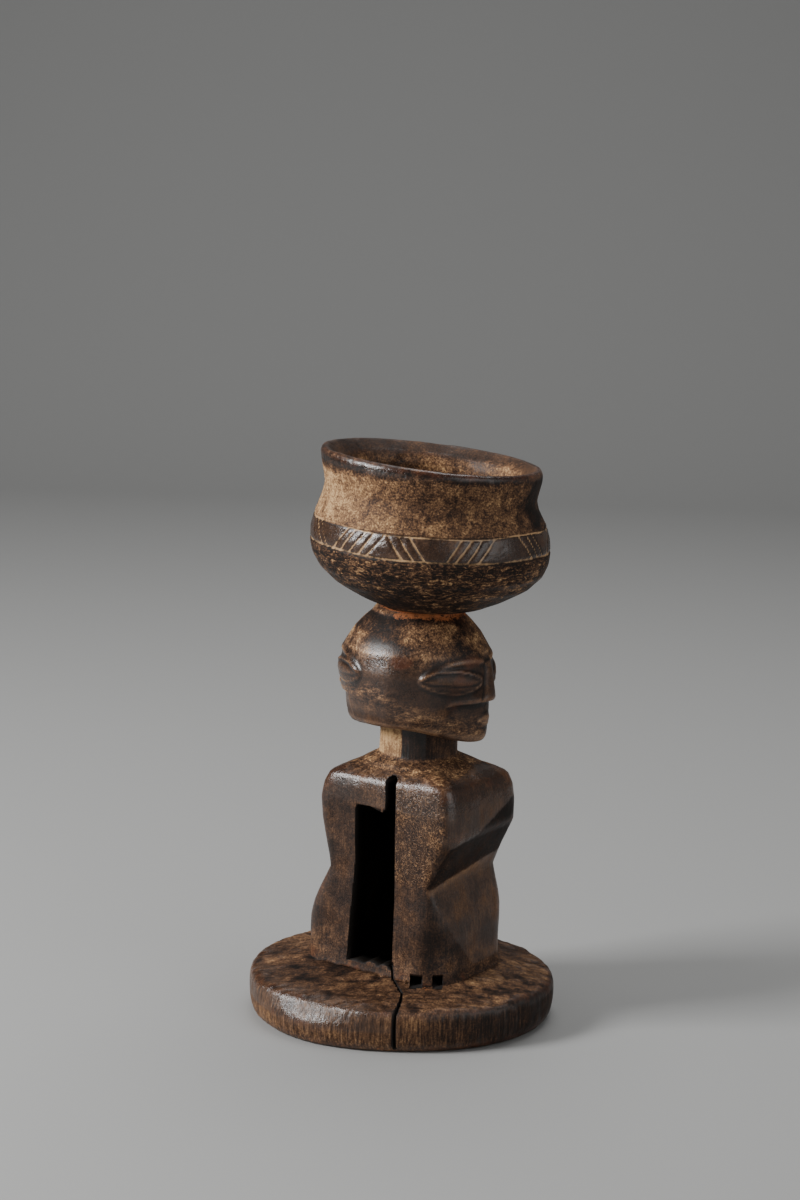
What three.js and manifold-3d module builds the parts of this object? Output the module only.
// A carved wooden figure with two faces back to back, a bowl on its head, a hollow trunk with a slot in
// one side, and a thick round foot. It is one piece of wood, so it is one mesh.
// Millimetres, +Z up. The origin is the middle of the foot's underside. One face looks along -Y and the
// other along +Y, and the slot is in the -X side.
import * as THREE from "three";
import { mergeVertices } from "three/addons/utils/BufferGeometryUtils.js";
import Module from "manifold-3d";

const wasm = await Module();
wasm.setup();

// Driving dimensions
const columns = 60; // corners in each ring of the skin
const faceCrowding = 0.3; // how much closer the columns stand at the two faces than at the sides

const foot = {
  height: 15.4, // at the rim
  crown: 18.4, // where the trunk stands on it
  // the wood left standing higher beside the trunk: its height, and its direction and spread in degrees
  lump: { height: 2.4, direction: 12, spread: 34 },
  // the hewn outline: the rim's reach every 30 degrees, starting at +X
  reach: [49, 48.5, 49, 51.5, 54, 54.5, 52, 48, 50, 54, 56, 52],
};
const trunk = { x: 2.3, y: -3.5, waist: 53, shoulder: 87.8, crisp: 13, bevel: 47 };
const neck = { x: 2.5, y: -3.7, radius: 13.7, bottom: 95.6 };
const head = {
  x: 1.5,
  y: -2.4,
  turn: 10, // degrees that the faces are turned from the trunk
  chin: 102,
  jaw: 108,
  crown: 146.6,
};
const bowl = { x: 3.4, y: -5, rim: 199.8, floor: 162.2 };
const cavity = { bottom: 18, top: 85 }; // the hollow inside the trunk
// the window in the trunk's side, its front edge and the slit above it
const slot = { front: -9.8, back: 7, lowBack: 9.2, bottom: 20.6, top: 78, slitBack: -5.4, slitTop: 88.2 };

const radians = THREE.MathUtils.degToRad;

// The value at t, from 0 to 1, between b and c of four values in a row, on a curve that never overshoots
function between(a, b, c, d, t) {
  const lean = (p, q, r) =>
    (q - p) * (r - q) <= 0 ? 0 : (2 * (q - p) * (r - q)) / (r - p);
  const start = lean(a, b, c);
  const end = lean(b, c, d);
  const rise = c - b;
  return (
    b +
    t * (start + t * (3 * rise - 2 * start - end + t * (start + end - 2 * rise)))
  );
}

// Rings through a row of stations, with the given number of rings to each gap
function ringsThrough(stations, steps) {
  const at = (i) => stations[THREE.MathUtils.clamp(i, 0, stations.length - 1)];
  const rings = [];
  for (let i = 0; i < stations.length - 1; i++) {
    for (let k = 0; k < steps; k++) {
      const ring = {};
      for (const field of Object.keys(stations[0])) {
        ring[field] = between(
          at(i - 1)[field],
          at(i)[field],
          at(i + 1)[field],
          at(i + 2)[field],
          k / steps,
        );
      }
      rings.push(ring);
    }
  }
  rings.push({ ...at(stations.length - 1) });
  return rings;
}

// How far a rounded oblong reaches in a direction: a superellipse with its own half-lengths to the
// sides, the front and the back, and squarer corners as square grows past 2
function oblongReach(angle, { side, front, back, square }) {
  const along = Math.abs(Math.cos(angle)) / side;
  const across = Math.abs(Math.sin(angle)) / (Math.sin(angle) < 0 ? front : back);
  return (along ** square + across ** square) ** (-1 / square);
}

// The foot's reach in a direction, a smooth closed curve through its radii
function footReach(angle) {
  const count = foot.reach.length;
  const place = ((angle / (2 * Math.PI)) * count + count) % count;
  const i = Math.floor(place);
  const at = (k) => foot.reach[(i + k + count) % count];
  return between(at(-1), at(0), at(1), at(2), place - i);
}

// A ring of the foot: a share of its outline at height z, drawn in towards the trunk's lowest section
function footRing(share, z, inward = 0) {
  return (angle) => {
    const reach = share * footReach(angle);
    const [x, y] = trunkRing(trunkSections()[0])(angle);
    const mix = THREE.MathUtils.lerp;
    const lifted = z + lump(angle, inward);
    return [mix(reach * Math.cos(angle), x, inward), mix(reach * Math.sin(angle), y, inward), lifted];
  };
}

// How much higher the foot stands at its lump, which rises and falls again on the way in to the trunk
function lump(angle, inward) {
  const { height, direction, spread } = foot.lump;
  const away = ((THREE.MathUtils.radToDeg(angle) - direction + 540) % 360) - 180;
  const rise = Math.sin(Math.PI * Math.min(1, 1.6 * inward));
  return height * Math.exp(-((away / spread) ** 2)) * rise;
}

// Rings of the foot, from the middle of its underside over the rounded rim and the mound to the trunk
function footRings() {
  const { height, crown } = foot;
  const rim = [
    [0.55, 0],
    [0.945, 0],
    [0.968, 0.9],
    [0.993, 4.5],
    [1, 9],
    [0.996, height - 2.8],
    [0.984, height - 1.2],
    [0.955, height - 0.1],
    [0.9, height + 0.4], // the edge of the mound
  ];
  const edge = height + 0.4;
  const mound = [0.3, 0.62, 0.85].map((inward) => [0.9, edge + inward * (crown - edge), inward]);
  return [...rim, ...mound].map((ring) => footRing(...ring));
}

// A ring of an oblong section about its own centre, turned by turn degrees, with extra(angle) added to
// its height and reach
function oblongRing(ring, extra = () => [0, 0]) {
  const turn = radians(ring.turn ?? 0);
  return (angle) => {
    const [lift, swell] = extra(angle - turn, ring);
    const reach = oblongReach(angle - turn, ring) + swell;
    return [
      ring.x + reach * Math.cos(angle),
      ring.y + reach * Math.sin(angle),
      ring.z + lift,
    ];
  };
}

// How far a section bounded by flat sides reaches in a direction. Each side is a direction in degrees and
// its distance, and the corners between them are crisper as the power grows
function flatSidedReach(angle, sides, power) {
  let total = 0;
  for (const [direction, distance] of sides) {
    total += (Math.max(0, Math.cos(angle - radians(direction))) / distance) ** power;
  }
  return total ** (-1 / power);
}

// Sections of the trunk from the foot to the neck: hips, waist, chest and sloping shoulders. Four sides
// and the bevels at the four corners, of which the ones at -X face the slot's side
function trunkSections() {
  const fields = ["z", "left", "right", "front", "back", "leftFront", "leftBack", "rightFront", "rightBack"];
  return [
    [foot.crown, 24.6, 23, 28.8, 34.6, 30.4, 36.4, 31.6, 36],
    [foot.crown + 1.9, 22.9, 22.4, 27.2, 34, 29.1, 36.4, 31.2, 36],
    [24, 22.4, 22, 26.6, 33.8, 28.6, 36.4, 31.2, 36],
    [33, 22, 21.8, 26, 33.4, 28.7, 36.6, 32, 36],
    [39, 21.9, 21.7, 24.8, 31, 29.6, 36, 32.6, 36],
    [46, 21.7, 21.6, 22.8, 26.6, 30.6, 34.6, 32.6, 34.8],
    [trunk.waist, 21.6, 21.5, 20.9, 22.8, 30.6, 32, 31, 32],
    [61, 21.8, 21.7, 24.2, 24.6, 31.4, 33.4, 33, 33.4],
    [71, 22.2, 22, 29.2, 27, 34.4, 35, 36.6, 35.4],
    [78, 22.4, 22.1, 29.1, 27.4, 34.6, 35.4, 36.6, 35.6],
    [84, 22.3, 21.9, 28.3, 26.4, 34, 34.6, 35.4, 34.6],
    [trunk.shoulder, 21.5, 21.2, 26.7, 24.6, 32.6, 32.2, 33.4, 32.2],
    [90.2, 19.2, 18.6, 23.2, 21.2, 28.4, 27.8, 29, 27.6],
    [92.2, 16.4, 16.2, 18.8, 18, 23.4, 22.6, 23.4, 22.6],
  ].map((row) => Object.fromEntries(fields.map((field, i) => [field, row[i]])));
}

function trunkRing(section) {
  const { bevel, crisp } = trunk;
  const sides = [
    [180, section.left],
    [0, section.right],
    [270, section.front],
    [90, section.back],
    [180 + bevel, section.leftFront],
    [180 - bevel, section.leftBack],
    [-bevel, section.rightFront],
    [bevel, section.rightBack],
  ];
  return (angle) => {
    const reach = flatSidedReach(angle, sides, crisp);
    return [trunk.x + reach * Math.cos(angle), trunk.y + reach * Math.sin(angle), section.z];
  };
}

function trunkRings() {
  return trunkSections().map((section) => trunkRing(section));
}

// Rings of the round neck
function neckRings() {
  const { x, y, radius } = neck;
  const round = (z, r) => ({ x, y, z, side: r, front: r, back: r, square: 2.3 });
  return ringsThrough(
    [
      round(neck.bottom, radius),
      round(101, radius - 0.2),
      round(106.8, radius + 0.2),
    ],
    1,
  ).map((ring) => oblongRing(ring));
}

// How far the head's skin stands out, in millimetres, away degrees from the middle of a face and at
// height z: almond eyes, a wedge nose and small lips in a set-back muzzle, each at a simple share of the
// height from chin to crown
function faceRelief(away, z) {
  const share = (part) => head.chin + part * (head.crown - head.chin);
  const [mouth, noseTip, eyeLine, brow] = [share(0.17), share(0.33), share(0.5), share(0.65)];
  const lens = (u, v) => Math.max(0, 1 - u * u - v * v);
  const eye = 1.8 * lens((away - 37) / 28, (z - eyeLine) / 4.6);
  const up = (z - noseTip) / (brow - noseTip);
  const bridge = Math.max(0, 1 - (away / 11) ** 2);
  const nose = up < 0 || up > 1 ? 0 : (1.8 - 1.1 * up) * bridge;
  const below = THREE.MathUtils.clamp((noseTip - z) / 2, 0, 1);
  const muzzle = -1.1 * below * THREE.MathUtils.clamp((46 - away) / 8, 0, 1);
  const lips = 0.8 * lens(away / 12, (z - mouth) / 2.4);
  return eye + nose + muzzle + lips;
}

// Rings of the head: out under the jaw, which is lowest at the chins, up the faces and in over the crown
function headRings() {
  const { x, y, turn } = head;
  const shape = [
    { z: head.jaw - 0.6, side: 19.6, front: 22.6, back: 21.8, square: 1.75, drop: 0.75 },
    { z: head.jaw - 0.2, side: 22.6, front: 26.8, back: 25.4, square: 1.6, drop: 1 },
    { z: head.jaw + 1, side: 23.9, front: 28.2, back: 26.9, square: 1.6, drop: 0.95 },
    { z: 113.5, side: 24.8, front: 28.5, back: 27.5, square: 1.68, drop: 0.55 },
    { z: 119, side: 25.2, front: 28.2, back: 27.6, square: 1.78, drop: 0.15 },
    { z: 127, side: 25.2, front: 27.6, back: 27.6, square: 1.88, drop: 0 },
    { z: 133.5, side: 23.9, front: 25.8, back: 26, square: 1.95, drop: 0 },
    { z: 138.8, side: 21, front: 22.4, back: 22.6, square: 2, drop: 0 },
    { z: 142.6, side: 18.2, front: 19, back: 19.2, square: 2, drop: 0 },
    { z: head.crown, side: 14.9, front: 15.3, back: 15.3, square: 2, drop: 0 },
  ].map((station) => ({ x, y, turn, ...station }));
  const carve = (angle, ring) => {
    const away = THREE.MathUtils.radToDeg(Math.acos(Math.abs(Math.sin(angle))));
    const toChin = Math.abs(Math.sin(angle)) ** 2.4 * (Math.sin(angle) < 0 ? 1 : 0.45);
    const lift = -ring.drop * (head.jaw - head.chin) * toChin;
    return [lift, faceRelief(away, ring.z + lift)];
  };
  return ringsThrough(shape, 2).map((ring) => oblongRing(ring, carve));
}

// A round ring of the bowl. It leans down towards the slack side, more at the rim than at the belly,
// and the bowl's underside is shifted that way too
function bowlRing({ z, radius, lean, shift }) {
  const slack = radians(-56);
  return (angle) => [
    bowl.x + shift * Math.cos(slack) + radius * Math.cos(angle),
    bowl.y + shift * Math.sin(slack) + radius * Math.sin(angle),
    z - lean * radius * Math.cos(angle - slack),
  ];
}

// Rings of the bowl: up the outside, over the wide lip, which slopes inwards, and down the inside
function bowlRings() {
  const fields = ["radius", "z", "lean", "shift"];
  const { rim, floor } = bowl;
  return [
    [18.6, 148, 0.01, 1.4],
    [25.6, 151, 0.015, 1.4],
    [34.4, 156, 0.02, 1.2],
    [39, 160.6, 0.022, 0.9],
    [41.2, 165, 0.026, 0.5],
    [41.9, 169, 0.03, 0.2],
    [41.7, 173.5, 0.032, 0.1],
    [40.4, 178.5, 0.036, 0],
    [37.6, 184.6, 0.06, 0],
    [36.9, 187.8, 0.07, 0],
    [37.4, 191.4, 0.08, 0],
    [38.5, 196, 0.09, 0],
    [38.4, rim - 0.7, 0.09, 0],
    [36.9, rim + 0.2, 0.09, 0],
    [33.5, rim - 1.4, 0.09, 0],
    [30.8, rim - 3.6, 0.088, 0],
    [29.7, 192, 0.075, 0],
    [29.6, 188, 0.065, 0],
    [31, 180, 0.04, 0],
    [30.4, 172, 0.02, 0],
    [24, 166, 0, 0],
    [13, floor + 0.8, 0, 0],
  ]
    .map((row) => Object.fromEntries(fields.map((field, i) => [field, row[i]])))
    .map((ring) => bowlRing(ring));
}

// One closed skin over a stack of rings, with a point closing it at each end
function skinOver(rings, bottom, top, count) {
  const points = [];
  const faces = [];
  points.push(...bottom);
  for (const ring of rings) {
    for (let i = 0; i < count; i++) {
      const even = (i / count) * 2 * Math.PI;
      points.push(...ring(even + (faceCrowding / 2) * Math.sin(2 * even)));
    }
  }
  points.push(...top);
  const corner = (r, i) => 1 + r * count + (i % count);
  const last = points.length / 3 - 1;
  for (let i = 0; i < count; i++) {
    faces.push(0, corner(0, i + 1), corner(0, i));
    for (let r = 0; r < rings.length - 1; r++) {
      faces.push(corner(r, i), corner(r, i + 1), corner(r + 1, i + 1));
      faces.push(corner(r, i), corner(r + 1, i + 1), corner(r + 1, i));
    }
    faces.push(corner(rings.length - 1, i), corner(rings.length - 1, i + 1), last);
  }
  const geometry = new THREE.BufferGeometry();
  geometry.setAttribute("position", new THREE.Float32BufferAttribute(points, 3));
  geometry.setIndex(faces);
  return geometry;
}

// A closed geometry as a solid that can be cut, and a cut solid as a geometry
function solidOf(geometry) {
  const bare = geometry.clone();
  for (const name of Object.keys(bare.attributes)) {
    if (name !== "position") bare.deleteAttribute(name);
  }
  const merged = mergeVertices(bare, 1e-4);
  return new wasm.Manifold(
    new wasm.Mesh({
      numProp: 3,
      vertProperties: merged.attributes.position.array,
      triVerts: new Uint32Array(merged.index.array),
    }),
  );
}

function geometryOf(solid) {
  const mesh = solid.getMesh();
  const geometry = new THREE.BufferGeometry();
  geometry.setAttribute(
    "position",
    new THREE.BufferAttribute(new Float32Array(mesh.vertProperties), 3),
  );
  geometry.setIndex(new THREE.BufferAttribute(new Uint32Array(mesh.triVerts), 1));
  return geometry;
}

// A closed band standing on edge: it follows a path in plan, with half a width and a lower and an upper
// height at each point
function bandAlong(path) {
  const points = [];
  path.forEach(({ x, y, half, low, high }, i) => {
    const before = path[Math.max(i - 1, 0)];
    const after = path[Math.min(i + 1, path.length - 1)];
    const along = new THREE.Vector2(after.x - before.x, after.y - before.y).normalize();
    const [sideX, sideY] = [-along.y * half, along.x * half];
    points.push(x + sideX, y + sideY, low, x - sideX, y - sideY, low);
    points.push(x - sideX, y - sideY, high, x + sideX, y + sideY, high);
  });
  const faces = [0, 1, 2, 0, 2, 3];
  for (let i = 0; i < path.length - 1; i++) {
    for (let k = 0; k < 4; k++) {
      const [a, b] = [4 * i + k, 4 * i + ((k + 1) % 4)];
      faces.push(a, a + 4, b + 4, a, b + 4, b);
    }
  }
  const end = 4 * (path.length - 1);
  faces.push(end, end + 2, end + 1, end, end + 3, end + 2);
  const geometry = new THREE.BufferGeometry();
  geometry.setAttribute("position", new THREE.Float32BufferAttribute(points, 3));
  geometry.setIndex(faces);
  return solidOf(geometry);
}

// The hollow of the trunk: a rounded oblong well with a domed top
function hollow() {
  const { x, y } = trunk;
  const rings = ringsThrough(
    [
      { z: cavity.bottom, side: 15, front: 17, back: 17.5 },
      { z: cavity.bottom + 2, side: 16.2, front: 18.5, back: 19 },
      { z: trunk.waist, side: 17.4, front: 16.4, back: 17 },
      { z: 76, side: 18.8, front: 21, back: 19 },
      { z: cavity.top - 3, side: 17, front: 17.5, back: 16.5 },
      { z: cavity.top, side: 10, front: 10, back: 10 },
    ].map((station) => ({ x, y, square: 4, ...station })),
    1,
  ).map((ring) => oblongRing(ring));
  return solidOf(skinOver(rings, [x, y, cavity.bottom], [x, y, cavity.top], 28));
}

// The slot in the wall at -X: a tall window, wider at its foot, and a narrow slit that runs on up to a
// round hole in the shoulder
function slotCut() {
  const outside = trunk.x - 30;
  const inside = trunk.x - 12;
  const { front, back, lowBack, bottom, top, slitBack, slitTop } = slot;
  const outline = new THREE.Shape(
    [
      [front, bottom],
      [front, slitTop],
      [slitBack, slitTop],
      [slitBack, top - 0.8],
      [slitBack + 1.6, top - 0.8],
      [back - 1, top],
      [back, top - 1.4],
      [back + 0.2, trunk.waist],
      [lowBack, bottom + 14],
      [lowBack, bottom],
    ].map(([y, z]) => new THREE.Vector2(y, z)),
  );
  const window = new THREE.ExtrudeGeometry(outline, { depth: inside - outside, bevelEnabled: false });
  window.rotateX(Math.PI / 2).rotateZ(Math.PI / 2).translate(outside, 0, 0);
  const middle = (front + slitBack) / 2;
  const round = new THREE.CylinderGeometry(2.4, 2.4, inside - outside, 12);
  round.rotateZ(Math.PI / 2);
  round.translate((outside + inside) / 2, middle, slitTop);
  return solidOf(window).add(solidOf(round));
}

// The low hole at the trunk's front corner, which opens into the hollow, less the post left standing
function cornerHole() {
  const along = new THREE.Vector2(0.8266, 0.563);
  const mouth = new THREE.Vector2(-21.3, -25.8);
  const at = (distance) => mouth.clone().addScaledVector(along, distance);
  const band = (distances, half, low, high) =>
    bandAlong(distances.map((distance) => ({ ...at(distance), half, low, high })));
  return band([0, 8, 20], 5.7, 17.6, 21).subtract(band([1.6, 5], 1.8, 12, 30));
}

// The crack that runs from the slot's lower corner out over the foot and down its rim
function crackCut() {
  return bandAlong([
    { x: -18, y: -8.6, half: 0.3, low: 15, high: 24 },
    { x: -20.6, y: -10.8, half: 0.4, low: 13, high: 23 },
    { x: -24.4, y: -15.4, half: 0.5, low: 11, high: 22 },
    { x: -27.2, y: -19.6, half: 0.4, low: 9, high: 22 },
    { x: -33.3, y: -23.1, half: 0.6, low: 6, high: 22 },
    { x: -38.4, y: -25.1, half: 0.7, low: 2, high: 20 },
    { x: -42.3, y: -25.9, half: 0.75, low: -1, high: 20 },
    { x: -54, y: -32, half: 0.8, low: -1, high: 20 },
  ]);
}

const skin = skinOver(
  [...footRings(), ...trunkRings(), ...neckRings(), ...headRings(), ...bowlRings()],
  [0, 0, 0],
  [bowl.x, bowl.y, bowl.floor - 1],
  columns,
);
const figure = solidOf(skin)
  .subtract(hollow())
  .subtract(slotCut())
  .subtract(cornerHole())
  .subtract(crackCut());

const wood = new THREE.MeshStandardMaterial({
  color: 0x4a3527,
  roughness: 0.6,
  metalness: 0,
});
const carving = new THREE.Mesh(geometryOf(figure), wood);
carving.name = "janus_figure";

const group = new THREE.Group();
group.add(carving);

export default group;
